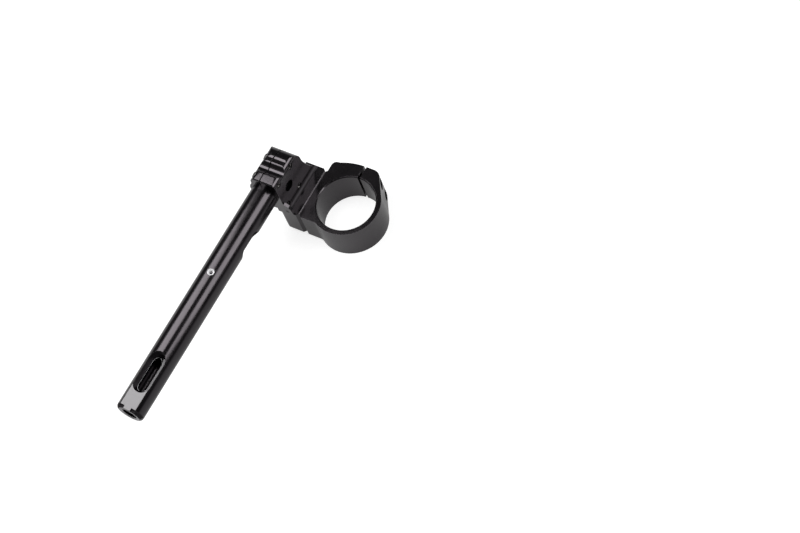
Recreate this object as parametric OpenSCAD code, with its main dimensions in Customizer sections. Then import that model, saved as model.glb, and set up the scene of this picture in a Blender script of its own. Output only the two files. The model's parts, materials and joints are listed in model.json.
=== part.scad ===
// Clip-on handlebar for the left side of a motorcycle.
// A split ring grips the fork tube. A machined bar mount is bolted to a flat boss on the ring,
// and a cap with four bolts clamps the bar in it, above and beside the fork.
// The origin is the centre of the fork bore, +Z runs up the fork, +X points from the bar
// towards the fork, and the bar runs along -Y to its open end.

/* [Fork clamp] */
// Diameter of the fork tube that the ring grips
fork_d = 54; // [50:0.5:58]
// Height of the ring along the fork
ring_h = 34; // [33:1:38]
// Wall of the ring round the fork
ring_wall = 5; // [4:0.5:8]
// Thickness of solid metal between the fork bore and the mounting face
boss_depth = 7; // [7:0.5:10]
// Distance from the fork axis to the front wall of the mounting boss
boss_front = 28; // [26:0.5:30]
// Distance from the fork axis to the back end of the mounting face
boss_back = 24; // [22:0.5:26]
// Width of the slit that lets the ring close
slit_w = 2.5; // [1.5:0.5:4]
// Sideways place of the slit
slit_x = -2; // [-4:0.5:2]
// Chamfer on both ends of the fork bore
bore_chamfer = 0.8; // [0.4:0.1:1.2]

/* [Pinch bolts] */
// Thread diameter of the pinch bolts
pinch_d = 6; // [5:1:8]
// Distance between the two pinch bolts along the fork
pinch_pitch = 19; // [18:0.5:19]
// Metal between the fork bore and a pinch bolt
pinch_wall = 2.75; // [2:0.05:3.5]
// Metal outside a pinch bolt hole
pinch_back_wall = 3.55; // [1.5:0.05:4]
// Metal clamped under a pinch bolt head
pinch_grip = 6; // [5:0.5:7]
// Length of thread in the far lug
pinch_thread = 18; // [14:1:20]

/* [Bar mount] */
// Height of the mount's base, flush with the top of the ring
base_h = 30; // [28:0.5:32]
// Depth of the base, away from the mounting face
base_depth = 21.5; // [20:0.5:23]
// Distance from the mounting face to the bar axis
bar_off = 28; // [28:0.5:31]
// Height of the bar axis above the top of the ring
bar_rise = 21.5; // [21.5:0.5:28]
// Length of the clamp along the bar, from the front wall backwards
clamp_len = 40; // [39:1:42]
// Radius of the upright outer corners of the base
base_corner = 5; // [3:0.5:7]
// Thickness of the rib at the front of the mount
rib_t = 3; // [2:0.5:4]
// Chamfer on the upright edges of the joint
joint_chamfer = 2.6; // [0.8:0.1:3]
// Chamfer on the top edge of the joint
joint_top_chamfer = 0.7; // [0.4:0.1:1.2]
// Diameter of the wire outlet behind the bar
outlet_d = 11; // [8:0.5:12]

/* [Bar clamp] */
// Thickness of metal between the bar and the clamp's flat inner face
clamp_wall = 3.3; // [3:0.1:6]
// Thickness of metal between the bar and the cap's outer face
cap_wall = 2.8; // [2.5:0.1:4]
// Gap left between the mount and the cap
split_gap = 1; // [0.6:0.1:1.6]
// Height of the bolt lugs above and below the bar axis
lug_h = 21.5; // [21:0.5:23]
// Depth of the valley between two lugs
valley = 3.6; // [2:0.2:4]
// Depth of the cap at its lugs
lug_depth = 10.5; // [10:0.5:12]
// Metal clamped under a clamp bolt head
cap_grip = 4.2; // [3.5:0.1:5]
// Radius of the cap's outer corners, seen along the bar
cap_corner = 7.5; // [3:0.5:8]

/* [Clamp bolts] */
// Thread diameter of the clamp bolts
bolt_d = 5; // [4:0.5:5]
// Wall of the steel thread insert round each clamp bolt
insert_wall = 0.5; // [0.4:0.1:0.6]
// Length of each thread insert
insert_l = 10; // [8:0.5:11]
// Metal between the bar and a thread insert
bolt_wall = 0.4; // [0.3:0.1:0.6]
// Distance from the clamp's front to the front clamp bolts
bolt_front = 5.5; // [5.5:0.5:7]
// Distance between clamp bolts along the bar
bolt_pitch = 20; // [19:0.5:21]
// Depth of a bolt's tip below the inner face
tip_recess = 2.4; // [1:0.2:4]

/* [Mount bolts] */
// Thread diameter of the bolts that hold the mount to the ring
mount_d = 8; // [6:1:8]
// Distance between the mount bolts
mount_pitch = 35; // [34:0.5:36]
// Length of thread in the ring's boss
mount_thread = 8.5; // [7:0.5:9]
// Diameter of the dowels that locate the mount
dowel_d = 5; // [4:0.5:6]
// Length of each dowel
dowel_l = 12; // [10:1:14]
// Distance between the dowels along the fork
dowel_pitch = 20; // [19:0.5:21]

/* [Bar] */
// Outer diameter of the bar
bar_d = 25.4; // [25:0.1:25.8]
// Wall of the bar
bar_wall = 5.7; // [4.5:0.1:6]
// Length of bar outside the clamp
bar_out = 231.5; // [215:0.5:260]
// Length of bar that shows behind the clamp
bar_back = 0; // [0:0.5:3]
// Turn of the window and the flat towards the fork from straight up
bar_clock = 7; // [0:1:10]
// Distance from the clamp to the middle of the wire hole
wire_hole_at = 47.5; // [42:0.5:60]
// Length of the wire hole along the bar
wire_hole_l = 30; // [20:0.5:32]
// Width of the wire hole across the bar
wire_hole_w = 15.5; // [10:0.5:17]
// Turn of the wire hole below the level of the bar axis
wire_hole_down = 27; // [20:1:40]
// Distance from the clamp to the locating hole for the switch
pin_hole_at = 91; // [85:1:105]
// Diameter of the locating hole
pin_hole_d = 3.4; // [3:0.1:4]
// Diameter of the countersink on the locating hole
pin_sink_d = 6.4; // [6:0.1:7]
// Depth of the countersink on the locating hole
pin_sink = 1.2; // [0.8:0.1:1.5]
// Turn of the locating hole towards the fork from straight up
pin_clock = 8; // [0:1:15]
// Distance from the bar's end to the window's slot
window_end = 21.5; // [19:0.5:26]
// Length of the window's slot where it meets the bore
window_l = 31; // [24:0.5:34]
// Width of the window's slot where it meets the bore
window_w = 8.8; // [7.5:0.1:10]
// Run of the window's flared walls for each millimetre of their rise
window_flare = 0.78; // [0.4:0.02:0.9]
// Height of the window's upright wall above the bore
window_land = 0.3; // [0.2:0.1:1]
// Depth of the milled flat between the window and the end
flat_depth = 2.3; // [1.5:0.1:2.4]
// Width of the two notches at the end of the flat
notch = 4.4; // [3:0.1:5]
// Distance of each notch's middle from the middle of the flat
notch_off = 5.5; // [5:0.1:6]
// Length of the notches along the bar
notch_l = 3; // [2:0.5:4]
// Depth of the notches below the flat
notch_deep = 1.4; // [0.8:0.1:1.6]
// Radial size of the rounded edge at the bar's open end
end_round = 2.9; // [1:0.1:3]
// Length of the rounded edge at the bar's open end
end_round_l = 3.4; // [1:0.1:4]
// Chamfer at the ends of the bar
bar_chamfer = 0.9; // [0.5:0.1:1.2]

/* [Hidden] */
$fn = 96;
eps = 0.02;
over = 2;
clear = 0.25;
anodised = [0.05, 0.05, 0.055];
steel = [0.35, 0.35, 0.36];

// Fork clamp
fork_r = fork_d / 2;
ring_r = fork_r + ring_wall;
top_z = ring_h / 2;
face_x = -(fork_r + boss_depth);
waist_r = 12;
pinch_hole_r = pinch_d / 2 + clear;
pinch_y = fork_r + pinch_wall + pinch_hole_r;
back_y = pinch_y + pinch_hole_r + pinch_back_wall;
slit_in = slit_x + slit_w / 2;
pinch_seat = slit_in + pinch_grip;
pinch_tip = slit_x - slit_w / 2 - pinch_thread;

// Socket heads, as on standard cap screws
function head_r(d) = 0.75 * d + 0.5;
function head_h(d) = d;
washer_t = 1.2;

// Bar clamp
bar_r = bar_d / 2;
bar_in_r = bar_r - bar_wall;
bar_x = face_x - bar_off;
bar_z = top_z + bar_rise;
inner_x = bar_x + bar_r + clamp_wall;
cap_face_x = bar_x - bar_r - cap_wall;
lug_x = bar_x - split_gap / 2 - lug_depth;
clamp_front = -boss_front;
clamp_back = clamp_front + clamp_len;
bolt_mid_y = clamp_front + bolt_front + bolt_pitch / 2;
bolt_r = bolt_d / 2;
insert_r = bolt_r + insert_wall;
bolt_dz = bar_r + bolt_wall + insert_r;
bolt_head_r = head_r(bolt_d);
bolt_seat = bar_x - split_gap / 2 - cap_grip;
bolt_tip = inner_x - tip_recess;
insert_from = inner_x - 1 - insert_l;

// Base of the mount
foot_r = 3;
base_z = top_z - base_h;
base_x = face_x - base_depth;
base_mid_y = (boss_back - boss_front) / 2;
mount_z = base_z + base_h / 2;
mount_seat = base_x + head_h(mount_d) + washer_t + 0.3;
mount_tip = face_x + mount_thread;

// Bar
bar_end = clamp_front - bar_out;
bar_start = clamp_back + bar_back;
window_y = bar_end + window_end + window_l / 2;
flat_r = bar_r - flat_depth;
window_front = window_y - (window_l - window_w) / 2;
end_steps = 4;

function on_arc(c, r, a, b, n) =
  [for (i = [0:n]) [c[0] + r * cos(a + (b - a) * i / n), c[1] + r * sin(a + (b - a) * i / n)]];

// Cylinder along X from one place to another
module along_x(x1, x2, r) {
  translate([min(x1, x2), 0, 0]) rotate([0, 90, 0]) cylinder(r = r, h = abs(x2 - x1));
}

// Cylinder along Y from one place to another
module along_y(y1, y2, r) {
  translate([0, min(y1, y2), 0]) rotate([-90, 0, 0]) cylinder(r = r, h = abs(y2 - y1));
}

// Slot with round ends along Y, cut from the middle of the bar outwards along +Z
module slot_y(l, w, h) {
  for (s = [-1, 1]) translate([0, s * (l - w) / 2, 0]) cylinder(d = w, h = h);
  translate([-w / 2, -(l - w) / 2, 0]) cube([w, l - w, h]);
}

// Outline of the ring with its pinch lugs, seen along the fork
module ring_outline() {
  circle(r = ring_r);
  pinch_outline();
}

// Outline of the boss that carries the bar mount, blended into the ring at its front
module boss_outline() {
  fillet_y = -boss_front - waist_r;
  fillet_x = -sqrt(pow(ring_r + waist_r, 2) - pow(fillet_y, 2));
  reach = ring_r / (ring_r + waist_r);
  difference() {
    polygon([
      [face_x, joint_chamfer - boss_front], [face_x + joint_chamfer, -boss_front],
      [fillet_x, -boss_front], [fillet_x * reach, fillet_y * reach], [0, 0], [0, boss_back],
      [face_x + joint_chamfer, boss_back], [face_x, boss_back - joint_chamfer]
    ]);
    translate([fillet_x, fillet_y]) circle(r = waist_r);
  }
}

// Outline of the thick lugs that carry the pinch bolts
module pinch_outline() {
  left = face_x + 1.8;       // end of the far lug, inside the boss's chamfer
  right = slit_in + 17;      // end of the lug with the bolt heads
  corner = 5;                // rounding of the far lug
  dip = 5;                   // fall of the far lug's back from the slit
  crown = 60;                // radius of the back of the far lug
  head_corner = 9;           // rounding of the lug with the bolt heads
  meet = 38;                 // direction in which that lug runs into the ring
  polygon(concat(
    [[left, boss_back - 1]],
    on_arc([left + corner, back_y - dip - corner], corner, 180, 112, 8),
    on_arc([slit_x, back_y - crown], crown, 113, 90, 12),
    on_arc([right - head_corner, back_y - head_corner], head_corner, 90, 40, 10),
    [[ring_r * cos(meet), ring_r * sin(meet)], [0, 0], [left, 0]]
  ));
}

module fork_clamp() {
  color(anodised) difference() {
    union() {
      translate([0, 0, -top_z]) linear_extrude(ring_h) ring_outline();
      translate([0, 0, base_z]) linear_extrude(base_h) boss_outline();
    }
    translate([0, 0, -top_z - over]) cylinder(r = fork_r, h = ring_h + 2 * over);
    for (s = [0, 1]) mirror([0, 0, s]) translate([0, 0, top_z - bore_chamfer])
      cylinder(r1 = fork_r, r2 = fork_r + 2 * bore_chamfer, h = 2 * bore_chamfer);
    translate([slit_x - slit_w / 2, fork_r / 2, -top_z - over])
      cube([slit_w, back_y, ring_h + 2 * over]);
    for (i = [0, 1]) translate([0, pinch_y, pinch_at(i)]) {
      along_x(slit_x, pinch_seat + over, pinch_hole_r);
      along_x(pinch_seat, ring_r + over, head_r(pinch_d) + clear);
      along_x(pinch_tip - 1, slit_x, pinch_d / 2);
    }
    for (i = [0, 1]) translate([0, mount_y(i), mount_z])
      along_x(face_x - over, mount_tip + 0.4, mount_d / 2);
    for (i = [0, 1]) translate([0, base_mid_y, dowel_at(i)])
      along_x(face_x - over, face_x + dowel_l / 2, dowel_d / 2);
    side_extrude(-boss_front - over, boss_back + over) polygon([
      [face_x - over, top_z - joint_top_chamfer - over],
      [face_x + joint_top_chamfer + over, top_z + over], [face_x - over, top_z + over]
    ]);
  }
}

function pinch_at(i) = (i - 0.5) * pinch_pitch;
function mount_y(i) = base_mid_y + (i - 0.5) * mount_pitch;
function dowel_at(i) = mount_z + (i - 0.5) * dowel_pitch;
function bolt_y(i) = bolt_mid_y + (i % 2 - 0.5) * bolt_pitch;
function bolt_z(i) = bar_z + (i < 2 ? -1 : 1) * bolt_dz;

// Side profile of the mount, seen along the bar
module mount_profile() {
  round_top = 5;
  top = bar_z + lug_h;
  split = bar_x + split_gap / 2;
  polygon(concat(
    [[face_x, base_z], [face_x, top_z - joint_top_chamfer], [face_x - joint_top_chamfer, top_z]],
    on_arc([inner_x + foot_r, top_z + foot_r], foot_r, 270, 180, 6),
    on_arc([inner_x - round_top, top - round_top], round_top, 0, 90, 10),
    [[split, top]],
    on_arc([bar_x, bar_z], lug_h, 270 + asin(split_gap / 2 / lug_h),
      270 + asin((base_x - bar_x) / lug_h), 8),
    [[base_x, base_z]]
  ));
}

// Profile of the rib that joins the mount's inner face and its top at the front
module rib_profile() {
  rise = 12.5;   // height on the inner face
  reach = 7;     // length on the base
  root = 1;      // depth to which it is sunk into both
  polygon([
    [inner_x - root, top_z - root], [inner_x - root, top_z + rise], [inner_x, top_z + 0.96 * rise],
    [inner_x + 0.64 * reach, top_z + 0.76 * rise], [inner_x + 0.9 * reach, top_z + 0.48 * rise],
    [inner_x + reach, top_z], [inner_x + reach, top_z - root]
  ]);
}

// Side profile of the cap, seen along the bar
module cap_profile() {
  split = bar_x - split_gap / 2;
  r = cap_corner;
  intersection() {
    union() {
      difference() {
        translate([bar_x, bar_z]) circle(r = bar_x - cap_face_x);
        translate([split, bar_z - bar_d]) square(2 * bar_d);
      }
      polygon(concat(
        [[split, bar_z - lug_h], [split, bar_z + lug_h]],
        on_arc([lug_x + r, bar_z + lug_h - r], r, 90, 180, 6),
        on_arc([lug_x + r, bar_z - lug_h + r], r, 180, 270, 6)
      ));
    }
    translate([cap_face_x - over, bar_z - bar_d]) square([split - cap_face_x + over, 2 * bar_d]);
  }
}

// Wavy front-to-back profile of the clamp: a crest over each bolt, a valley between them, and a
// back that is rounded at the top and flares out to the back of the base
module wave_profile() {
  top = bar_z + lug_h;
  crest1 = bolt_mid_y - bolt_pitch / 2;
  crest2 = bolt_mid_y + bolt_pitch / 2;
  dip_from = crest1 + 2.5;   // start of the valley, behind the front crest
  dip_to = crest2 - 4;       // end of the valley, before the back crest
  dip_power = 1.4;           // above 1 it flattens the valley's ends
  dip_steps = 14;
  crest_fall = 0.35;         // fall of the back crest from the top
  nose = 2;                  // rounding of the front edge
  back_r = min(12.5, clamp_back - crest2 - 1);  // rounding of the back edge
  flare_power = 1.8;         // above 1 it keeps the flare to the foot
  flare_steps = 8;
  foot_y = boss_back - 1;
  flare_h = top - back_r - top_z;
  polygon(concat(
    [[clamp_front, base_z - 1], [clamp_front, top - nose - 0.2]],
    on_arc([clamp_front + nose, top - nose - 0.2], nose, 180, 110, 6),
    [for (i = [0:dip_steps]) [
      dip_from + (dip_to - dip_from) * i / dip_steps,
      top - valley * pow(sin(180 * i / dip_steps), dip_power)
    ]],
    [[crest2, top - crest_fall]],
    on_arc([clamp_back - back_r, top - back_r], back_r, 90, 10, 12),
    [for (i = [1:flare_steps]) [
      clamp_back + (foot_y - clamp_back) * pow(i / flare_steps, flare_power),
      top - back_r - flare_h * i / flare_steps
    ]],
    [[boss_back, top_z], [boss_back, base_z - 1]]
  ));
}

// Keeps what lies inside the wave above the axis and, for both, inside its mirror image below it
module waved(both) {
  wide = bar_off + base_depth + bar_d;
  intersection() {
    children();
    intersection() {
      translate([cap_face_x - over, 0, 0]) rotate([90, 0, 90]) linear_extrude(wide) wave_profile();
      if (both) translate([cap_face_x - over, 0, 2 * bar_z]) mirror([0, 0, 1]) rotate([90, 0, 90])
        linear_extrude(wide) wave_profile();
    }
  }
}

// Extrudes a side profile along the bar
module side_extrude(y1, y2) {
  translate([0, y2, 0]) rotate([90, 0, 0]) linear_extrude(y2 - y1) children();
}

// Plan of the base with round outer corners
module base_plan() {
  c = base_corner;
  polygon(concat(
    [
      [face_x - joint_chamfer, boss_back], [face_x, boss_back - joint_chamfer],
      [face_x, joint_chamfer - boss_front], [face_x - joint_chamfer, -boss_front]
    ],
    on_arc([base_x + c, -boss_front + c], c, 270, 180, 16),
    on_arc([base_x + c, boss_back - c], c, 180, 90, 16)
  ));
}

module mount_body() {
  intersection() {
    side_extrude(-boss_front, boss_back) mount_profile();
    translate([0, 0, base_z - 1]) linear_extrude(base_h + 1) base_plan();
  }
  waved(false) intersection() {
    side_extrude(clamp_front, boss_back) mount_profile();
    translate([bar_x, clamp_front, top_z - 4])
      cube([inner_x + foot_r + over - bar_x, boss_back - clamp_front, bar_rise + 2 * lug_h]);
  }
  side_extrude(clamp_front, clamp_front + rib_t) rib_profile();
}

module bar_mount() {
  color(anodised) difference() {
    mount_body();
    translate([bar_x, 0, bar_z]) along_y(clamp_front - over, boss_back + over, bar_r);
    for (i = [0:3]) translate([0, bolt_y(i), bolt_z(i)]) {
      along_x(bar_x - over, inner_x + foot_r + over, bolt_r);
      along_x(insert_from, inner_x + foot_r + over, insert_r);
    }
    translate([0, bolt_mid_y, bar_z]) along_x(bar_x, inner_x + over, outlet_d / 2);
    for (i = [0, 1]) translate([0, mount_y(i), mount_z]) {
      along_x(base_x - over, face_x + over, mount_d / 2 + clear);
      along_x(bar_x - bar_r, mount_seat, head_r(mount_d) + 2 * clear);
    }
    for (i = [0, 1]) translate([0, base_mid_y, dowel_at(i)])
      along_x(face_x - dowel_l / 2, face_x + over, dowel_d / 2);
  }
}

module bar_cap() {
  color(anodised) difference() {
    waved(true) side_extrude(clamp_front, clamp_back) cap_profile();
    translate([bar_x, 0, bar_z]) along_y(clamp_front - over, clamp_back + over, bar_r);
    for (i = [0:3]) translate([0, bolt_y(i), bolt_z(i)]) {
      along_x(lug_x - over, bar_x, bolt_r + clear);
      along_x(cap_face_x - over, bolt_seat, bolt_head_r + clear);
    }
  }
}

module bar() {
  color(anodised) translate([bar_x, 0, bar_z]) difference() {
    along_y(bar_end, bar_start, bar_r);
    end_edge();
    along_y(bar_end - over, bar_start + over, bar_in_r);
    bar_mouths();
    translate([0, bolt_mid_y, 0]) along_x(0, bar_d, outlet_d / 2);
    translate([0, clamp_front - wire_hole_at, 0]) rotate([0, 90 + wire_hole_down, 0])
      slot_y(wire_hole_l, wire_hole_w, bar_d);
    translate([0, clamp_front - pin_hole_at, 0]) rotate([0, pin_clock, 0]) {
      cylinder(d = pin_hole_d, h = bar_d);
      translate([0, 0, bar_r - pin_sink])
        cylinder(d1 = pin_hole_d, d2 = 2 * pin_sink_d - pin_hole_d, h = 2 * pin_sink);
    }
    rotate([0, bar_clock, 0]) {
      window_cut();
      translate([-bar_r, bar_end - over, flat_r]) cube([bar_d, window_front + over - bar_end, bar_d]);
      for (s = [-1, 1]) translate([s * notch_off - notch / 2, bar_end - over, flat_r - notch_deep])
        cube([notch, notch_l + over, bar_d]);
    }
  }
}

// Rings that cut the rounded edge at the bar's open end, each along one chord of its curve
module end_edge() {
  function edge_y(i) = end_round_l * (1 - cos(90 * i / end_steps));
  function edge_r(i) = bar_r - end_round * (1 - sin(90 * i / end_steps));
  for (i = [0:end_steps - 1]) {
    dy = edge_y(i + 1) - edge_y(i);
    dr = edge_r(i + 1) - edge_r(i);
    translate([0, bar_end + edge_y(i), 0]) rotate([-90, 0, 0]) difference() {
      translate([0, 0, -dy]) cylinder(r = bar_r + over, h = 3 * dy);
      translate([0, 0, -1.5 * dy]) cylinder(r1 = edge_r(i) - 1.5 * dr, r2 = edge_r(i) + 2.5 * dr, h = 4 * dy);
    }
  }
}

// Chamfers at both mouths of the bore, and round the outside of the bar's inner end
module bar_mouths() {
  c = bar_chamfer;
  translate([0, bar_start - c, 0]) rotate([-90, 0, 0]) difference() {
    cylinder(r = bar_r + over, h = 2 * c);
    translate([0, 0, -eps]) cylinder(r1 = bar_r + eps, r2 = bar_r - 2 * c, h = 2 * c + eps);
  }
  translate([0, bar_end - c, 0]) rotate([-90, 0, 0])
    cylinder(r1 = bar_in_r + 2 * c, r2 = bar_in_r, h = 2 * c);
  translate([0, bar_start - c, 0]) rotate([-90, 0, 0])
    cylinder(r1 = bar_in_r, r2 = bar_in_r + 2 * c, h = 2 * c);
}

// Slot whose walls flare outwards from just above the bore, also round its ends
module window_cut() {
  r1 = window_w / 2;
  z1 = sqrt(bar_in_r * bar_in_r - r1 * r1) + window_land;
  z2 = bar_r + over;
  r2 = r1 + window_flare * (z2 - z1);
  half = (window_l - window_w) / 2;
  translate([0, window_y, 0]) {
    for (s = [-1, 1]) translate([0, s * half, 0]) {
      cylinder(r = r1, h = z1 + eps);
      translate([0, 0, z1]) cylinder(r1 = r1, r2 = r2, h = z2 - z1);
    }
    translate([0, half, 0]) rotate([90, 0, 0]) linear_extrude(2 * half)
      polygon([[-r1, 0], [-r1, z1], [-r2, z2], [r2, z2], [r1, z1], [r1, 0]]);
  }
}

// Socket-head cap screw with its head at x = 0 and its shank along +X
module screw(d, l) {
  h = head_h(d);
  difference() {
    union() {
      along_x(-h, 0, head_r(d));
      along_x(-eps, l - 0.6, d / 2);
      translate([l - 0.6, 0, 0]) rotate([0, 90, 0]) cylinder(r1 = d / 2, r2 = d / 2 - 0.6, h = 0.6);
    }
    translate([-h - eps, 0, 0]) rotate([0, 90, 0]) cylinder(d = d * 0.96, h = h * 0.5, $fn = 6);
  }
}

module washer(d, r) {
  difference() {
    along_x(-washer_t, 0, r);
    along_x(-washer_t - over, over, d / 2 + clear);
  }
}

module pinch_bolt(i) {
  color(steel) translate([pinch_seat, pinch_y, pinch_at(i)]) mirror([1, 0, 0])
    screw(pinch_d, pinch_seat - pinch_tip);
}

module mount_bolt(i) {
  color(steel) translate([mount_seat - washer_t, mount_y(i), mount_z])
    screw(mount_d, mount_tip - mount_seat + washer_t);
}

module mount_washer(i) {
  color(steel) translate([mount_seat, mount_y(i), mount_z]) washer(mount_d, head_r(mount_d));
}

module dowel(i) {
  color(steel) translate([0, base_mid_y, dowel_at(i)])
    along_x(face_x - dowel_l / 2, face_x + dowel_l / 2, dowel_d / 2);
}

module cap_bolt(i) {
  color(steel) translate([bolt_seat, bolt_y(i), bolt_z(i)]) screw(bolt_d, bolt_tip - bolt_seat);
}

// Steel sleeve that carries the thread in the mount
module thread_insert(i) {
  color(steel) translate([0, bolt_y(i), bolt_z(i)]) difference() {
    along_x(insert_from, insert_from + insert_l, insert_r);
    along_x(insert_from - over, inner_x + over, bolt_r);
  }
}

fork_clamp();
bar_mount();
bar_cap();
bar();
for (i = [0, 1]) {
  pinch_bolt(i);
  mount_bolt(i);
  mount_washer(i);
  dowel(i);
}
for (i = [0:3]) {
  cap_bolt(i);
  thread_insert(i);
}
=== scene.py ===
import json
import math

import bmesh
import bpy
from bpy.props import FloatProperty, FloatVectorProperty, IntProperty, PointerProperty
from mathutils import Euler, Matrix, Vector


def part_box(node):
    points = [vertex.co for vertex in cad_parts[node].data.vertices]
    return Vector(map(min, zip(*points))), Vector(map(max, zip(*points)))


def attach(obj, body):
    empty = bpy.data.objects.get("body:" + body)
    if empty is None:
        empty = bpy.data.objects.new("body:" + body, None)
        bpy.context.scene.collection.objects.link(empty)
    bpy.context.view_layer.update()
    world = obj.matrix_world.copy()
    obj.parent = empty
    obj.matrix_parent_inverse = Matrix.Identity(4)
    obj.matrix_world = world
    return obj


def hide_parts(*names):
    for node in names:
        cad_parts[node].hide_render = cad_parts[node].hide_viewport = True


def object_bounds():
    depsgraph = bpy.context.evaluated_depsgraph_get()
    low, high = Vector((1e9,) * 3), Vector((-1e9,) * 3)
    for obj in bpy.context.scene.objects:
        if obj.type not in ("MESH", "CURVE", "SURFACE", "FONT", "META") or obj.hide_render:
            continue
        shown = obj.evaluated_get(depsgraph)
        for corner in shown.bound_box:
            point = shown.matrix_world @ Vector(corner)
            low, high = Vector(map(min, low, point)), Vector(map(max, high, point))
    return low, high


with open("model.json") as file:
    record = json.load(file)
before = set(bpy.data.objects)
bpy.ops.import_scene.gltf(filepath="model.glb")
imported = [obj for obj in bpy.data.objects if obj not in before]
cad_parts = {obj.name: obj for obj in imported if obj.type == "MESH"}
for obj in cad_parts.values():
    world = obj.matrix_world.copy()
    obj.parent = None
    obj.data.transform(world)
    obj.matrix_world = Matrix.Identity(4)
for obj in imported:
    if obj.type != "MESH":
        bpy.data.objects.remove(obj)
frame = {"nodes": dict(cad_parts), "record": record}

bl_info = {
    "name": "Clip-on handlebar",
    "version": (1, 0, 0),
    "blender": (4, 5, 0),
    "location": "View3D > Sidebar > Handlebar",
    "description": "Dresses the clip-on handlebar and builds its fasteners and its stage",
    "category": "Object",
}

CAD_BOX = [list(corner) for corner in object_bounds()]
MM = 0.001
ALONG_X = Vector((1, 0, 0))

# The bar's end and its holes, as the part's source has them
FLAT_CLOCK = math.radians(7)      # the flat and the window turn this far towards the fork
FLAT_DEPTH = 2.3 * MM
FLAT_LENGTH = 25.9 * MM
BAR_WALL = 5.7 * MM
BAR_CHAMFER = 0.9 * MM
WINDOW_FROM_END = 37 * MM
WINDOW_HALF_W = 4.3 * MM          # a little inside its edge at the bore
WINDOW_HALF_L = 16.5 * MM         # a little past its ends
NOTCH_L = 3.1 * MM                # a little past the notches' floors
PEG_SINK_R = 3.2 * MM

# The hollow corner between the mount's foot and its body
CLAMP_WALL = 3.3 * MM             # wall between the bar and the corner
CORNER_R = 3 * MM

# Where a finish ends
FACE_TOLERANCE = 0.08 * MM        # a point this near to a face counts as on it
WINDOW_RIM_HIGHLIGHT = 0.35 * MM            # width of the painted highlight along the edge where the window breaks into the bore

# Tones and shares of the finishes
SEALED_TINT = (1.0, 0.915, 0.985, 1.0)    # faint violet of the sealed black layer
# The edge tone below is wear, and also a painted highlight along every edge.
WORN_AND_GLINTING_ALUMINIUM = (0.16, 0.16, 0.165, 1.0)
WORN_STEEL = (0.42, 0.41, 0.40, 1.0)
EDGE_WEAR_AND_GLINT = 0.35                  # share of that tone on the black edges, wear and painted highlight together
BARE_ROUGHNESS = 0.62
BARE_METALLIC = 0.35
POCKET_ROUGHNESS = 0.9
CORNER_ROUGHNESS = 0.6
PATCH_SPREAD = 0.035              # how far the roughness strays from patch to patch
SPECK_SPREAD = 0.02               # and from speck to speck
EDGE_TURN = (0.01, 0.14)          # how far the rounded normal turns where an edge starts and on its crest

# Size, detail and roughness of each noise
PATCHES = (26 * MM, 4.0, 0.6)
SPECKS = (1.1 * MM, 3.0, 0.7)
LATHE_MARKS = (2.4 * MM, 3.0, 0.6)
WAVES = (7 * MM, 2.0, 0.5)
GRINDING_RINGS = (0.25 * MM, 2.0, 0.6)
DYE_DIMPLES = (0.16 * MM, 2.0, 0.6)
OXIDE_BLOTCHES = (1.6 * MM, 4.0, 0.65)
TURNED_RINGS = (0.12 * MM, 2.0, 0.5)
FLOOR_GRAIN = (3 * MM, 2.0, 0.5)

# How far a noise is squeezed along each axis, to draw it out into rings and lines
LATHE_SQUEEZE = (1, 12, 1)
GRINDING_SQUEEZE = (0.06, 1, 0.06)
TURNED_SQUEEZE = (1, 0.08, 0.08)

# Distance and strength of each bump
WAVE_BUMP = (0.02 * MM, 0.3)
BLAST_BUMP = (0.02 * MM, 0.28)
GRINDING_BUMP = (0.006 * MM, 0.35)
DYE_BUMP = (0.008 * MM, 0.35)
TURNED_BUMP = (0.01 * MM, 0.4)
BLOTCH_BUMP = (0.01 * MM, 0.3)

# Fasteners
HEAD_WIDTH_SHARE = 1.5            # a head is this many times as wide as its screw
HEAD_WIDTH_EXTRA = 1 * MM         # and this much more
SOCKET_SIDES = 6
SOCKET_WIDTH = 0.83               # width across the flats of a socket, over its screw's diameter
SOCKET_DEPTH = 0.5                # depth of a socket, over the height of its head
HEAD_CHAMFER = 0.07               # chamfer of a head, over its screw's diameter
THREAD_DEPTH = 0.6                # depth of a thread, over its pitch
TIP_LENGTH = 0.6 * MM
TIP_TAPER = 0.2 * MM
WASHER_PLAY = 0.25 * MM
WASHER_CHAMFER = 0.15 * MM
INSERT_WALL = 0.5 * MM
INSERT_THREAD_DEPTH = 0.1 * MM
INSERT_LIP = 0.25 * MM
DOWEL_CHAMFER = 0.6 * MM
INSERT_STEPS = 48                 # points round an insert
DOWEL_STEPS = 48
WASHER_STEPS = 72
SHARP_FROM = math.radians(32)     # edges that turn further than this are sharp

# Stage: places in metres, and the width of each lamp along the bar and across it
FLOOR_RADIUS = 4.0
WALL_TOP = 0.08                   # sine of the angle over the horizon at which the pale wall ends
KEY_PLACE = (-0.34, -0.10, 0.62)
KEY_AIM = (-0.062, -0.14, 0.05)
KEY_SIZE = (0.48, 0.55)
FILL_PLACE = (0.41, 0.18, 0.49)
FILL_AIM = (-0.062, -0.03, 0.03)
FILL_SIZE = (0.42, 0.42)
CAMERA_PLACE = (0.7532, -0.6208, 1.4903)
CAMERA_TURN = (29.100, 11.898, 28.905)    # degrees


def box_size(node):
    """Centre and size of a CAD node."""
    low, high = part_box(node)
    return (low + high) / 2, high - low


# Properties


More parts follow.
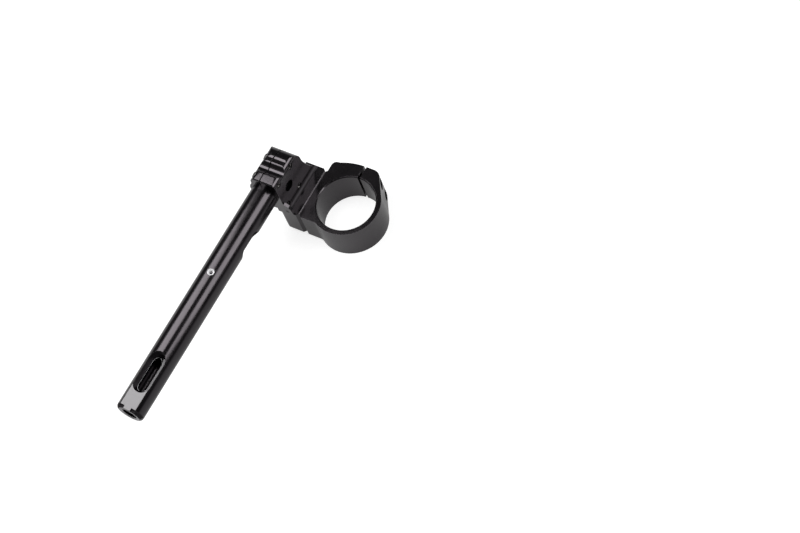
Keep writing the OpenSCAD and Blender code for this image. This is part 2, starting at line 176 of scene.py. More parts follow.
class HandlebarFinishes(bpy.types.PropertyGroup):
    """Colours, gloss and grain of the finishes"""
    anodised_color: FloatVectorProperty(
        name="Anodised colour", description="Black dye of the anodised aluminium",
        subtype="COLOR", default=(0.0024, 0.0022, 0.0026), min=0, max=1)
    anodised_roughness: FloatProperty(
        name="Anodised roughness", description="Roughness of the blasted and anodised clamps",
        subtype="FACTOR", default=0.18, min=0, max=1)
    bar_roughness: FloatProperty(
        name="Bar roughness", description="Roughness of the ground and anodised bar",
        subtype="FACTOR", default=0.19, min=0, max=1)
    # This colour also paints the highlight on the window's wall on the fork's side.
    bare_color: FloatVectorProperty(
        name="Bare metal colour", description="Aluminium of the flat that is milled through the anodising",
        subtype="COLOR", default=(0.36, 0.355, 0.362), min=0, max=1)
    # This colour also paints the highlight line where the window breaks into the bore.
    cut_color: FloatVectorProperty(
        name="Cut metal colour", description="Bright aluminium of the countersink and the bar's end face",
        subtype="COLOR", default=(0.88, 0.88, 0.89), min=0, max=1)
    dark_steel_color: FloatVectorProperty(
        name="Dark steel colour", description="Black oxide of the screws",
        subtype="COLOR", default=(0.085, 0.083, 0.082), min=0, max=1)
    plain_steel_color: FloatVectorProperty(
        name="Plain steel colour", description="Ground steel of the dowels and thread inserts",
        subtype="COLOR", default=(0.50, 0.49, 0.48), min=0, max=1)
    clamp_shine: FloatProperty(
        name="Clamp shine", description="Specular level of the sealed layer on the clamps",
        subtype="FACTOR", default=0.78, min=0, max=1)
    bar_shine: FloatProperty(
        name="Bar shine", description="Specular level of the sealed layer on the bar",
        subtype="FACTOR", default=0.62, min=0, max=1)
    edge_radius: FloatProperty(
        name="Edge radius", description="Radius that the light sees on every broken edge",
        subtype="DISTANCE", unit="LENGTH", default=0.35 * MM, min=0, max=2 * MM)
    blast_grain: FloatProperty(
        name="Blast grain", description="Size of the dimples that bead blasting leaves",
        subtype="DISTANCE", unit="LENGTH", default=0.30 * MM, min=0.05 * MM, max=2 * MM)


class HandlebarScrews(bpy.types.PropertyGroup):
    """Knurls and threads of the fasteners"""
    knurls: IntProperty(
        name="Knurls", description="Ridges round the head of a screw", default=36, min=12, max=90)
    knurl_depth: FloatProperty(
        name="Knurl depth", description="Depth of the ridges on a head",
        subtype="DISTANCE", unit="LENGTH", default=0.16 * MM, min=0, max=0.5 * MM)
    mount_pitch: FloatProperty(
        name="Pitch, mount", description="Thread pitch of the mount screws",
        subtype="DISTANCE", unit="LENGTH", default=1.25 * MM, min=0.5 * MM, max=2 * MM)
    pinch_pitch: FloatProperty(
        name="Pitch, pinch", description="Thread pitch of the pinch screws",
        subtype="DISTANCE", unit="LENGTH", default=1.0 * MM, min=0.5 * MM, max=2 * MM)
    cap_pitch: FloatProperty(
        name="Pitch, cap", description="Thread pitch of the cap screws",
        subtype="DISTANCE", unit="LENGTH", default=0.8 * MM, min=0.3 * MM, max=2 * MM)


class HandlebarStage(bpy.types.PropertyGroup):
    """Floor, light and lens"""
    floor_color: FloatVectorProperty(
        name="Floor colour", description="Colour of the floor", subtype="COLOR",
        default=(0.45, 0.45, 0.45), min=0, max=1)
    floor_glow: FloatProperty(
        name="Floor glow", description="Light that the camera adds to the floor",
        default=0.79, min=0, max=1)
    mirrored_glow: FloatProperty(
        name="Mirrored glow", description="Share of that light which the glossy black finishes mirror",
        subtype="FACTOR", default=0.34, min=0, max=1)
    key_power: FloatProperty(
        name="Key power", description="Power of the wide lamp on the bar's side",
        subtype="POWER", unit="POWER", default=4.1, min=0, max=100)
    fill_power: FloatProperty(
        name="Fill power", description="Power of the lamp on the fork's side",
        subtype="POWER", unit="POWER", default=2.5, min=0, max=100)
    room_light: FloatProperty(
        name="Room light", description="Strength of the even light from all round",
        default=0.05, min=0, max=2)
    lens: FloatProperty(
        name="Lens", description="Focal length on a 36 mm wide sensor",
        subtype="DISTANCE_CAMERA", default=90.06, min=20, max=300)


# Node helper


class NodeBench:
    """Short calls that add nodes to one node tree and link them."""

    def __init__(self, tree):
        self.tree = tree

    def add(self, kind, outlet=0, inputs=(), **settings):
        node = self.tree.nodes.new("ShaderNode" + kind)
        for name, value in settings.items():
            setattr(node, name, value)
        for name, value in dict(inputs).items():
            self.plug(value, node.inputs[name])
        return node.outputs[outlet]

    def plug(self, value, socket):
        if isinstance(value, bpy.types.NodeSocket):
            self.tree.links.new(value, socket)
        else:
            socket.default_value = value

    def math(self, operation, a, b=0.0, c=0.0):
        return self.add("Math", inputs={0: a, 1: b, 2: c}, operation=operation)

    def ramp(self, value, low, high, out_low=0.0, out_high=1.0):
        return self.add("MapRange", inputs={
            "Value": value, "From Min": low, "From Max": high, "To Min": out_low, "To Max": out_high})

    def dot(self, a, b):
        return self.add("VectorMath", "Value", {0: a, 1: b}, operation="DOT_PRODUCT")

    def mix(self, factor, a, b):
        """Mixes two colours."""
        return self.add("Mix", 2, {0: factor, 6: a, 7: b}, data_type="RGBA")

    def noise(self, where, size, detail=2.0, roughness=0.5):
        return self.add("TexNoise", inputs={
            "Vector": where, "Scale": 1 / size, "Detail": detail, "Roughness": roughness})

    def squeeze(self, where, along_axes):
        return self.add("Mapping", inputs={"Vector": where, "Scale": along_axes})


def shade(rgb, strength=1.0):
    """A colour made darker or paler, with its alpha."""
    return (*(channel * strength for channel in rgb), 1.0)


def new_material(name):
    """Material with one shader, and the bench and the shader to build on."""
    material = bpy.data.materials.new(name)
    material.use_nodes = True
    shader = material.node_tree.nodes["Principled BSDF"]
    return material, NodeBench(material.node_tree), shader


def object_place(bench):
    """Place on the object in metres, which moves with it."""
    return bench.add("TexCoord", "Object")


def edge_mask(bench, rounded):
    """1 on the crest of an edge and 0 on flat faces."""
    flat = bench.add("NewGeometry", "Normal")
    turn = bench.math("SUBTRACT", 1.0, bench.dot(rounded, flat))
    return bench.ramp(turn, *EDGE_TURN)


def bump_stack(bench, rounded, *layers):
    """Chains bumps of (height, distance, strength) on the rounded normal."""
    normal = rounded
    for height, distance, strength in layers:
        normal = bench.add("Bump", inputs={
            "Height": height, "Distance": distance, "Strength": strength, "Normal": normal})
    return normal


def anodised_surface(name, roughness, shine, grain_of, bare_and_highlights_of=None, matt_of=None):
    """Black anodised aluminium.

    grain_of gives the layers of its bump, the next argument marks unanodised metal and painted highlights,
    and matt_of marks matt corners.
    """
    finishes = bpy.context.scene.handlebar_finishes
    material, bench, shader = new_material(name)
    where = object_place(bench)
    rounded = bench.add("Bevel", inputs={"Radius": finishes.edge_radius}, samples=6)
    edges = edge_mask(bench, rounded)
    patches = bench.noise(where, *PATCHES)
    specks = bench.noise(where, *SPECKS)
    # The brighter tone on edge crests is partly wear and partly a painted highlight along every edge.
    worn = bench.math("MULTIPLY", edges, bench.ramp(specks, 0.35, 0.75, 0.15, 1.0))
    dye = bench.mix(bench.ramp(patches, 0.3, 0.7), shade(finishes.anodised_color, 0.85),
                    shade(finishes.anodised_color, 1.25))
    color = bench.mix(bench.math("MULTIPLY", worn, EDGE_WEAR_AND_GLINT), dye, WORN_AND_GLINTING_ALUMINIUM)
    rough = bench.math(
        "ADD", bench.ramp(patches, 0.25, 0.75, roughness - PATCH_SPREAD, roughness + PATCH_SPREAD),
        bench.ramp(specks, 0.3, 0.7, -SPECK_SPREAD, SPECK_SPREAD))
    shader.inputs["Specular IOR Level"].default_value = shine
    shader.inputs["Specular Tint"].default_value = SEALED_TINT
    if bare_and_highlights_of:
        # Besides the unanodised metal, these masks hold painted highlights on the bar's window, in the same
        # tones.
        bare_and_highlight, cut_and_highlight, pocket = bare_and_highlights_of(bench, where)
        marks = bench.noise(bench.squeeze(where, LATHE_SQUEEZE), *LATHE_MARKS)
        metal = bench.mix(marks, shade(finishes.bare_color, 0.88), shade(finishes.bare_color, 1.08))
        metal = bench.mix(cut_and_highlight, metal, shade(finishes.cut_color))
        color = bench.mix(bare_and_highlight, color, metal)
        rough = bench.math("ADD", bench.math("MULTIPLY", rough, bench.math("SUBTRACT", 1.0, bare_and_highlight)),
                           bench.math("MULTIPLY", bare_and_highlight, BARE_ROUGHNESS))
        rough = bench.math("MAXIMUM", rough, bench.math("MULTIPLY", pocket, POCKET_ROUGHNESS))
        bench.plug(bench.math("MULTIPLY", bare_and_highlight, BARE_METALLIC), shader.inputs["Metallic"])
    if matt_of:
        matt = bench.math("MULTIPLY", matt_of(bench, where), CORNER_ROUGHNESS)
        rough = bench.math("MAXIMUM", rough, matt)
    bench.plug(color, shader.inputs["Base Color"])
    bench.plug(rough, shader.inputs["Roughness"])
    bench.plug(bump_stack(bench, rounded, *grain_of(bench, where)), shader.inputs["Normal"])
    return material


def blasted_grain(bench, where):
    """Dimples of bead blasting over the faint waviness of a machined face."""
    grain = bpy.context.scene.handlebar_finishes.blast_grain
    dimples = bench.noise(where, grain, 2.0, 0.6)
    waves = bench.noise(where, *WAVES)
    return (waves, *WAVE_BUMP), (dimples, *BLAST_BUMP)


def matt_in_corner(bench, where):
    """Marks the hollow corner between the mount's foot and its body, which blasting leaves matt."""
    bar_axis, bar_size = box_size("bar")
    corner_x = bar_axis.x + bar_size.z / 2 + CLAMP_WALL
    corner_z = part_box("fork_clamp")[1].z

    def in_round(reach, start):
        past = bench.math("GREATER_THAN", reach, start - FACE_TOLERANCE)
        short = bench.math("LESS_THAN", reach, start + CORNER_R + FACE_TOLERANCE)
        return bench.math("MULTIPLY", past, short)

    across = in_round(bench.dot(where, (1, 0, 0)), corner_x)
    return bench.math("MULTIPLY", across, in_round(bench.dot(where, (0, 0, 1)), corner_z))


def ground_grain(bench, where):
    """Fine rings round the bar from grinding, and the dimples of the dyed layer."""
    rings = bench.noise(bench.squeeze(where, GRINDING_SQUEEZE), *GRINDING_RINGS)
    dimples = bench.noise(where, *DYE_DIMPLES)
    return (rings, *GRINDING_BUMP), (dimples, *DYE_BUMP)


def bare_and_highlights_on_bar(bench, where):
    """Marks the unanodised metal and the painted highlights, the part of them that shines brightest, and
    the matt floors of the two notches.

    Unanodised are the flat, the countersink of the locating hole and the face of the bar's end. The
    window's wall on the fork's side is painted in the flat's tone as a highlight, and the edge where the
    window breaks into the bore as a bright highlight line.
    """
    middle, size = box_size("bar")
    bar_r = size.z / 2
    bore_r = bar_r - BAR_WALL
    end_y = middle.y - size.y / 2
    place = bench.add("VectorMath", inputs={0: where, 1: (middle.x, 0, middle.z)}, operation="SUBTRACT")
    along = bench.dot(place, (0, 1, 0))

    def less(a, b):
        return bench.math("LESS_THAN", a, b)

    def far(a, b):
        squares = bench.math("POWER", a, 2.0), bench.math("POWER", b, 2.0)
        return bench.math("SQRT", bench.math("ADD", *squares))

    def both(first, *others):
        for mask in others:
            first = bench.math("MULTIPLY", first, mask)
        return first

    def either(first, *others):
        for mask in others:
            first = bench.math("MAXIMUM", first, mask)
        return first

    def turned(clock):
        """Heights over the bar's axis and distances beside it, with the bar turned by an angle."""
        up = bench.dot(place, (math.sin(clock), 0, math.cos(clock)))
        return up, bench.dot(place, (math.cos(clock), 0, -math.sin(clock)))

    # The end: its flat, its face, the mouth of its bore and the floors of its notches
    up, side = turned(FLAT_CLOCK)
    above = less(0.0, up)
    axle = far(up, side)
    off_flat = bench.math("ABSOLUTE", bench.math("SUBTRACT", up, bar_r - FLAT_DEPTH))
    flat = both(less(off_flat, FACE_TOLERANCE), less(along, end_y + FLAT_LENGTH))
    face = less(along, end_y + FACE_TOLERANCE)
    mouth = both(less(along, end_y + BAR_CHAMFER), less(axle, bore_r + BAR_CHAMFER))
    pocket = both(above, less(along, end_y + NOTCH_L), less(up, bar_r - FLAT_DEPTH - FACE_TOLERANCE),
                  less(bore_r + BAR_CHAMFER, axle))

    # Painted highlights: the window's wall on the fork's side, in the flat's tone, and its edge at the
    # bore, in the end face's tone
    off_window = bench.math("ABSOLUTE", bench.math("SUBTRACT", along, end_y + WINDOW_FROM_END))
    walls = both(above, less(off_window, WINDOW_HALF_L), less(axle, bar_r - FACE_TOLERANCE))
    fork_wall_highlight = both(walls, less(WINDOW_HALF_W, side), less(bore_r + FACE_TOLERANCE, axle))
    rim_highlight = both(walls, less(axle, bore_r + WINDOW_RIM_HIGHLIGHT), less(bore_r + FACE_TOLERANCE / 4, axle))

    # The countersink of the locating hole
    hole = next(mount for mount in frame["record"]["mounts"] if mount["name"] == "switch_peg_hole")
    up, side = turned(math.atan2(hole["axis"][0], hole["axis"][2]))
    off_hole = far(side, bench.math("SUBTRACT", along, hole["pos_m"][1]))
    sink = both(less(0.0, up), less(off_hole, PEG_SINK_R))

    # The edge at the bore gets the end face's bright tone as a painted highlight line.
    cut_and_highlight = either(face, mouth, sink, rim_highlight)
    return either(flat, cut_and_highlight, fork_wall_highlight), cut_and_highlight, pocket


def steel_surface(name, color, roughness, wear):
    """Turned steel with rings along X, and brighter metal where edges are worn."""
    finishes = bpy.context.scene.handlebar_finishes
    material, bench, shader = new_material(name)
    where = object_place(bench)
    rounded = bench.add("Bevel", inputs={"Radius": finishes.edge_radius / 2}, samples=4)
    edges = edge_mask(bench, rounded)
    blotches = bench.noise(where, *OXIDE_BLOTCHES)
    turned = bench.noise(bench.squeeze(where, TURNED_SQUEEZE), *TURNED_RINGS)
    tone = bench.mix(blotches, shade(color, 0.75), shade(color, 1.2))
    worn = bench.math("MULTIPLY", edges, bench.ramp(blotches, 0.35, 0.65, 0.2, 1.0))
    tone = bench.mix(bench.math("MULTIPLY", worn, wear), tone, WORN_STEEL)
    rough = bench.ramp(blotches, 0.3, 0.7, roughness - 0.06, roughness + 0.08)
    shader.inputs["Metallic"].default_value = 1.0
    bench.plug(tone, shader.inputs["Base Color"])
    bench.plug(rough, shader.inputs["Roughness"])
    bench.plug(bump_stack(bench, rounded, (turned, *TURNED_BUMP), (blotches, *BLOTCH_BUMP)),
               shader.inputs["Normal"])
    return material


def dark_steel():
    """Black oxide steel of the screws and washers, made once."""
    found = bpy.data.materials.get("black_oxide_steel")
    color = bpy.context.scene.handlebar_finishes.dark_steel_color
    return found or steel_surface("black_oxide_steel", color, roughness=0.34, wear=0.5)


def plain_steel():
    """Ground steel of the dowels and inserts, made once."""
    found = bpy.data.materials.get("ground_steel")
    color = bpy.context.scene.handlebar_finishes.plain_steel_color
    return found or steel_surface("ground_steel", color, roughness=0.26, wear=0.3)


# Meshes


def dress_node(node, material):
    """Gives a CAD node its material."""
    piece = frame["nodes"][node]
    if piece.material_slots:
        for slot in piece.material_slots:
            slot.material = material
    else:
        piece.data.materials.append(material)


def ring_of_points(mesh, x, radii):
    """Vertices round the X axis at x, one for each radius."""
    count = len(radii)
    return [mesh.verts.new((x, r * math.cos(math.tau * i / count), r * math.sin(math.tau * i / count)))
            for i, r in enumerate(radii)]


def join_rings(mesh, first, second):
    """Faces between two rings of as many points."""
    count = len(first)
    for i in range(count):
        j = (i + 1) % count
        mesh.faces.new((first[i], second[i], second[j], first[j]))


def close_ring(mesh, ring, x, facing):
    """Closes a ring with a fan to a point on the axis."""
    tip = mesh.verts.new((x, 0, 0))
    count = len(ring)
    for i in range(count):
        j = (i + 1) % count
        corners = (ring[i], ring[j], tip) if facing > 0 else (ring[j], ring[i], tip)
        mesh.faces.new(corners)


def hexagon(width, count):
    """Distances from the middle to a hexagon's outline, for points round it."""
    step = math.tau / SOCKET_SIDES
    return [width / 2 / math.cos((math.tau * i / count + step / 2) % step - step / 2) for i in range(count)]


def thread_rings(x1, x2, crest, root, pitch, count):
    """(x, radius) of the points of each ring of a right-handed thread that fades out at both ends."""
    outline = ((0.0, crest), (0.14, crest), (0.5, root), (0.64, root))    # shares of the pitch, radii
    turns = int((x2 - x1) / pitch) + 2
    for turn in range(-1, turns):
        for step, height in outline:
            points = []
            for i in range(count):
                x = x1 + (turn + step + i / count) * pitch
                points.append((min(max(x, x1), x2), height))
            if points[0][0] < x2 and points[-1][0] > x1:
                yield points


def thread_wall(mesh, x1, x2, crest, root, pitch, count):
    """Threaded wall between two plane rings. Returns its last ring."""
    last = None
    for points in thread_rings(x1, x2, crest, root, pitch, count):
        ring = [mesh.verts.new((x, r * math.cos(math.tau * i / count), r * math.sin(math.tau * i / count)))
                for i, (x, r) in enumerate(points)]
        if last:
            join_rings(mesh, last, ring)
        last = ring
    return last


def finish_mesh(name, mesh, place, material, node):
    """Makes the object, rides it on the body and lets it stand for its CAD node."""
    bmesh.ops.remove_doubles(mesh, verts=mesh.verts, dist=1e-6)
    bmesh.ops.dissolve_degenerate(mesh, edges=mesh.edges, dist=1e-7)
    bmesh.ops.recalc_face_normals(mesh, faces=mesh.faces)
    data = bpy.data.meshes.new(name)
    mesh.to_mesh(data)
    mesh.free()
    data.shade_smooth()
    data.set_sharp_from_angle(angle=SHARP_FROM)
    piece = bpy.data.objects.new(name, data)
    bpy.context.collection.objects.link(piece)
    piece.location = place
    data.materials.append(material)
    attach(piece, "root")
    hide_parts(node)


def socket_screw(diameter, length, pitch):
    """Socket-head cap screw with a knurled head. Its head ends at x = 0 and its shank points along +X."""
    screws = bpy.context.scene.handlebar_screws
    count = screws.knurls * 4
    head_r = (HEAD_WIDTH_SHARE * diameter + HEAD_WIDTH_EXTRA) / 2
    head_h = diameter
    root = diameter / 2 - THREAD_DEPTH * pitch
    mesh = bmesh.new()

    def plain(r):
        return [r] * count

    def knurled(depth):
        return [head_r - depth * (i % 4 in (1, 2)) for i in range(count)]

    socket = hexagon(SOCKET_WIDTH * diameter, count)
    socket_depth = SOCKET_DEPTH * head_h
    chamfer = HEAD_CHAMFER * diameter
    socket_floor = [
        (-head_h + socket_depth, [r * 0.5 for r in socket]),
        (-head_h + socket_depth * 0.93, socket),
    ]
    socket_mouth = [
        (-head_h + 0.05 * diameter, socket),
        (-head_h, plain(SOCKET_WIDTH * diameter * 0.6)),
    ]
    rounded_rim = [
        (-head_h, plain(head_r - chamfer * 1.3)),
        (-head_h + chamfer * 0.5, plain(head_r - chamfer * 0.5)),
        (-head_h + chamfer * 1.1, plain(head_r - screws.knurl_depth * 0.4)),
    ]
    knurled_side = [
        (-head_h + chamfer * 1.3, knurled(screws.knurl_depth)),
        (-chamfer * 1.3, knurled(screws.knurl_depth)),
    ]
    seat = [
        (-chamfer * 0.9, plain(head_r - chamfer * 0.3)),
        (0, plain(head_r - chamfer)),
        (0, plain(diameter / 2)),
    ]
    rings = socket_floor + socket_mouth + rounded_rim + knurled_side + seat
    made = [ring_of_points(mesh, x, radii) for x, radii in rings]
    for first, second in zip(made, made[1:]):
        join_rings(mesh, first, second)
    close_ring(mesh, made[0], -head_h + socket_depth * 1.12, -1)
    thread_end = thread_wall(mesh, 0, length - TIP_LENGTH, diameter / 2, root, pitch, count)
    tip = ring_of_points(mesh, length, plain(root - TIP_TAPER))
    join_rings(mesh, thread_end, tip)
    close_ring(mesh, tip, length, 1)
    return mesh


def threaded_sleeve(outer, inner, root, length, pitch):
    """Sleeve along +X from x = 0 with a thread inside."""
    mesh = bmesh.new()
    lip = INSERT_LIP
    thread_wall(mesh, lip, length - lip, inner, root, pitch, INSERT_STEPS)
    outside = [ring_of_points(mesh, x, [r] * INSERT_STEPS) for x, r in (
        (lip, inner), (0, inner + lip / 2), (0, outer - lip / 2), (lip, outer), (length - lip, outer),
        (length, outer - lip / 2), (length, inner + lip / 2), (length - lip, inner))]
    for one, other in zip(outside, outside[1:]):
        join_rings(mesh, one, other)
    return mesh


def turned_ring(outer, inner, length, chamfer):
    """Washer along +X from x = 0, with its outer edges broken."""
    mesh = bmesh.new()
    profile = ((0, inner), (0, outer - chamfer), (chamfer, outer), (length - chamfer, outer),
               (length, outer - chamfer), (length, inner), (0, inner))
    rings = [ring_of_points(mesh, x, [r] * WASHER_STEPS) for x, r in profile]
    for one, other in zip(rings, rings[1:]):
        join_rings(mesh, one, other)
    return mesh


def turned_pin(radius, length, chamfer):
    """Dowel along +X from x = 0 with rounded chamfers."""
    mesh = bmesh.new()
    profile = ((0, radius - chamfer), (chamfer * 0.35, radius - chamfer * 0.4), (chamfer, radius),
               (length - chamfer, radius), (length - chamfer * 0.35, radius - chamfer * 0.4),
               (length, radius - chamfer))
    rings = [ring_of_points(mesh, x, [r] * DOWEL_STEPS) for x, r in profile]
    for one, other in zip(rings, rings[1:]):
        join_rings(mesh, one, other)
    close_ring(mesh, rings[0], 0, -1)
    close_ring(mesh, rings[-1], length, 1)
    return mesh


def put_screw(node, name, pitch, side):
    """Builds a socket screw in place of a CAD node, with its head on the side -1 or 1 along X."""
    centre, size = box_size(node)
    diameter = (size.y - HEAD_WIDTH_EXTRA) / HEAD_WIDTH_SHARE
    mesh = socket_screw(diameter, size.x - diameter, pitch)
    if side > 0:
        half_turn = Euler((0, 0, math.pi)).to_matrix()
        bmesh.ops.rotate(mesh, verts=mesh.verts, cent=(0, 0, 0), matrix=half_turn)
    seat = centre + ALONG_X * side * (size.x / 2 - diameter)
    finish_mesh(name, mesh, seat, dark_steel(), node)
    return diameter


def low_end(node):
    """Middle of a CAD node's low end in X, and its size."""
    centre, size = box_size(node)
    return centre - ALONG_X * size.x / 2, size


# Operators


class HandlebarOperator:
    """What all steps share"""
    bl_options = {"REGISTER", "UNDO"}


class DressClamps(HandlebarOperator, bpy.types.Operator):
    """Gives the fork clamp, the bar mount and the cap their blasted and anodised finish"""
    bl_idname = "object.handlebar_dress_clamps"
    bl_label = "Dress Clamps"

    def execute(self, context):
        finishes = context.scene.handlebar_finishes
        finish = anodised_surface(
            "anodised_blasted", finishes.anodised_roughness, finishes.clamp_shine, blasted_grain,
            matt_of=matt_in_corner)
        for node in ("fork_clamp", "bar_mount", "bar_cap"):
            dress_node(node, finish)
        return {"FINISHED"}


class DressBar(HandlebarOperator, bpy.types.Operator):
    """Gives the bar its ground and anodised finish, unanodised where its end was machined afterwards, with
    painted highlights on its window
    """
    bl_idname = "object.handlebar_dress_bar"
    bl_label = "Dress Bar"

    def execute(self, context):
        finishes = context.scene.handlebar_finishes
        dress_node("bar", anodised_surface(
            "anodised_ground", finishes.bar_roughness, finishes.bar_shine, ground_grain, bare_and_highlights_on_bar))
        return {"FINISHED"}


class MakePinchScrews(HandlebarOperator, bpy.types.Operator):
    """Builds the two screws that pinch the fork clamp shut"""
    bl_idname = "object.handlebar_pinch_screws"
    bl_label = "Make Pinch Screws"

    def execute(self, context):
        pitch = context.scene.handlebar_screws.pinch_pitch
        for number in (1, 2):
            put_screw(f"pinch_bolt_{number}", f"pinch_screw_{number}", pitch, side=1)
        return {"FINISHED"}


class MakeMountScrews(HandlebarOperator, bpy.types.Operator):
    """Builds the two screws, with their washers, that hold the bar mount to the fork clamp"""
    bl_idname = "object.handlebar_mount_screws"
    bl_label = "Make Mount Screws"

    def execute(self, context):
        pitch = context.scene.handlebar_screws.mount_pitch
        for number in (1, 2):
            diameter = put_screw(f"mount_bolt_{number}", f"mount_screw_{number}", pitch, side=-1)
            node = f"mount_washer_{number}"
            start, size = low_end(node)
            mesh = turned_ring(size.y / 2, diameter / 2 + WASHER_PLAY, size.x, WASHER_CHAMFER)
            name = f"mount_screw_washer_{number}"
            finish_mesh(name, mesh, start, dark_steel(), node)
        return {"FINISHED"}


class MakeCapScrews(HandlebarOperator, bpy.types.Operator):
    """Builds the four screws that pull the cap onto the bar"""
    bl_idname = "object.handlebar_cap_screws"
    bl_label = "Make Cap Screws"

    def execute(self, context):
        pitch = context.scene.handlebar_screws.cap_pitch
        for number in (1, 2, 3, 4):
            put_screw(f"cap_bolt_{number}", f"cap_screw_{number}", pitch, side=-1)
        return {"FINISHED"}


class MakeThreadInserts(HandlebarOperator, bpy.types.Operator):
    """Builds the four steel inserts in the mount, with the thread that the cap screws run in"""
    bl_idname = "object.handlebar_thread_inserts"
    bl_label = "Make Thread Inserts"

    def execute(self, context):
        pitch = context.scene.handlebar_screws.cap_pitch
        for number in (1, 2, 3, 4):
            node = f"thread_insert_{number}"
            start, size = low_end(node)
            outer = size.y / 2
            inner = outer - INSERT_WALL
            mesh = threaded_sleeve(outer, inner, inner - INSERT_THREAD_DEPTH, size.x, pitch)
            finish_mesh(f"screw_insert_{number}", mesh, start, plain_steel(), node)
        return {"FINISHED"}


class MakeDowels(HandlebarOperator, bpy.types.Operator):
    """Builds the two dowels between the fork clamp and the bar mount"""
    bl_idname = "object.handlebar_dowels"
    bl_label = "Make Dowels"

    def execute(self, context):
        for number in (1, 2):
            node = f"dowel_{number}"
            start, size = low_end(node)
            mesh = turned_pin(size.y / 2, size.x, DOWEL_CHAMFER)
            finish_mesh(f"locating_dowel_{number}", mesh, start, plain_steel(), node)
        return {"FINISHED"}


class BuildStage(HandlebarOperator, bpy.types.Operator):
    """Builds the floor, the lamps, the pale surroundings and the camera"""
    bl_idname = "object.handlebar_stage"
    bl_label = "Build Stage"

    def execute(self, context):
        build_floor()
        build_world()
        stage = context.scene.handlebar_stage
        build_lamp("key_lamp", KEY_PLACE, KEY_AIM, KEY_SIZE, stage.key_power)
        build_lamp("fill_lamp", FILL_PLACE, FILL_AIM, FILL_SIZE, stage.fill_power)
        build_camera()
        return {"FINISHED"}


# Stage


def seen_directly(bench, mirrored):
    """1 for the camera and clear materials, mirrored times that for a reflection, and 0 for other light."""
    path = bench.tree.nodes.new("ShaderNodeLightPath")
    reflection = bench.math("MULTIPLY", path.outputs["Is Glossy Ray"], mirrored)
    direct = bench.math("MAXIMUM", path.outputs["Is Camera Ray"], reflection)
    return bench.math("MAXIMUM", direct, path.outputs["Is Transmission Ray"])


def build_floor():
    """Pale round floor under the handlebar, white where it is seen directly."""
    stage = bpy.context.scene.handlebar_stage
    mesh = bmesh.new()
    bmesh.ops.create_circle(mesh, cap_ends=True, radius=FLOOR_RADIUS, segments=96)
    data = bpy.data.meshes.new("floor")
    mesh.to_mesh(data)
    mesh.free()
    floor = bpy.data.objects.new("floor", data)
    floor.location.z = CAD_BOX[0][2]
    bpy.context.collection.objects.link(floor)
    material, bench, shader = new_material("pale_floor")
    shader.inputs["Roughness"].default_value = 0.9
    shader.inputs["Specular IOR Level"].default_value = 0.1
    grain = bench.noise(object_place(bench), *FLOOR_GRAIN)
    tone = bench.mix(grain, shade(stage.floor_color, 0.985), shade(stage.floor_color))
    glow = bench.math("MULTIPLY", seen_directly(bench, stage.mirrored_glow), stage.floor_glow)
    bench.plug(tone, shader.inputs["Base Color"])
    shader.inputs["Emission Color"].default_value = (1, 1, 1, 1)
    bench.plug(glow, shader.inputs["Emission Strength"])
    data.materials.append(material)


def build_world():
    """White to the camera. Reflections see it paler near the horizon, with an even and dim room above."""
    stage = bpy.context.scene.handlebar_stage
    world = bpy.context.scene.world or bpy.data.worlds.new("studio")
    bpy.context.scene.world = world
    world.use_nodes = True
    tree = world.node_tree
    tree.nodes.clear()
    bench = NodeBench(tree)
    room = bench.add("Background", inputs={"Color": (1, 1, 1, 1), "Strength": stage.room_light})
    white = bench.add("Background", inputs={"Color": (1, 1, 1, 1), "Strength": 1.0})
    height = bench.add("SeparateXYZ", "Z", {0: bench.add("TexCoord", "Generated")})
    low_wall = bench.ramp(height, 0.0, WALL_TOP, stage.mirrored_glow, 0.0)
    mixed = bench.add("MixShader", inputs={0: seen_directly(bench, low_wall), 1: room, 2: white})
    bench.plug(mixed, tree.nodes.new("ShaderNodeOutputWorld").inputs["Surface"])


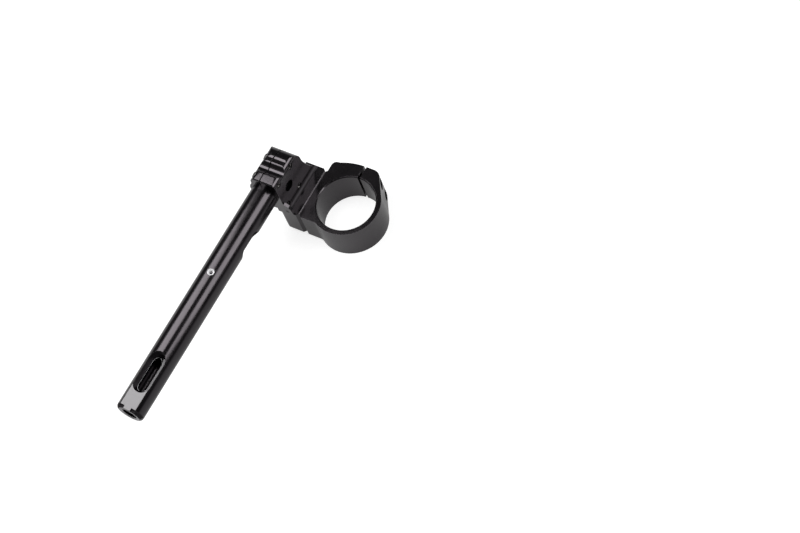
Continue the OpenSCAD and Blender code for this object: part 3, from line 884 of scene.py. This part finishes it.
def build_lamp(name, place, aim, size, power):
    """Soft rectangular lamp that faces its aim."""
    data = bpy.data.lights.new(name, "AREA")
    data.shape = "RECTANGLE"
    data.size, data.size_y = size
    data.energy = power
    lamp = bpy.data.objects.new(name, data)
    lamp.location = place
    away = Vector(place) - Vector(aim)
    lamp.rotation_euler = away.to_track_quat("Z", "Y").to_euler()
    bpy.context.collection.objects.link(lamp)


def build_camera():
    """Camera at the photograph's viewing angle."""
    data = bpy.data.cameras.new("camera")
    data.sensor_width = 36
    data.lens = bpy.context.scene.handlebar_stage.lens
    data.clip_start, data.clip_end = 0.05, 30
    camera = bpy.data.objects.new("camera", data)
    camera.location = CAMERA_PLACE
    camera.rotation_euler = [math.radians(angle) for angle in CAMERA_TURN]
    bpy.context.collection.objects.link(camera)
    bpy.context.scene.camera = camera


# Panel and registration


STEPS = (BuildStage, DressClamps, DressBar, MakePinchScrews, MakeMountScrews, MakeCapScrews,
         MakeThreadInserts, MakeDowels)
GROUPS = {"handlebar_finishes": HandlebarFinishes, "handlebar_screws": HandlebarScrews,
          "handlebar_stage": HandlebarStage}


class HandlebarPanel(bpy.types.Panel):
    """Lists the sizes, the colours and the steps of the handlebar"""
    bl_idname = "VIEW3D_PT_handlebar"
    bl_label = "Clip-on Handlebar"
    bl_space_type = "VIEW_3D"
    bl_region_type = "UI"
    bl_category = "Handlebar"

    def draw(self, context):
        for name, group in GROUPS.items():
            column = self.layout.column(align=True)
            for field in group.__annotations__:
                column.prop(getattr(context.scene, name), field)
        for step in STEPS:
            self.layout.operator(step.bl_idname)


CLASSES = (*GROUPS.values(), *STEPS, HandlebarPanel)


def register():
    for cls in CLASSES:
        bpy.utils.register_class(cls)
    for name, group in GROUPS.items():
        setattr(bpy.types.Scene, name, PointerProperty(type=group))


def unregister():
    for name in GROUPS:
        delattr(bpy.types.Scene, name)
    for cls in reversed(CLASSES):
        bpy.utils.unregister_class(cls)


def main():
    register()
    bpy.context.scene.view_settings.view_transform = "Standard"
    for step in STEPS:
        family, name = step.bl_idname.split(".")
        result = getattr(getattr(bpy.ops, family), name)()
        if result != {"FINISHED"}:
            raise RuntimeError(f"{step.bl_idname} did not finish")


if __name__ == "__main__":
    main()
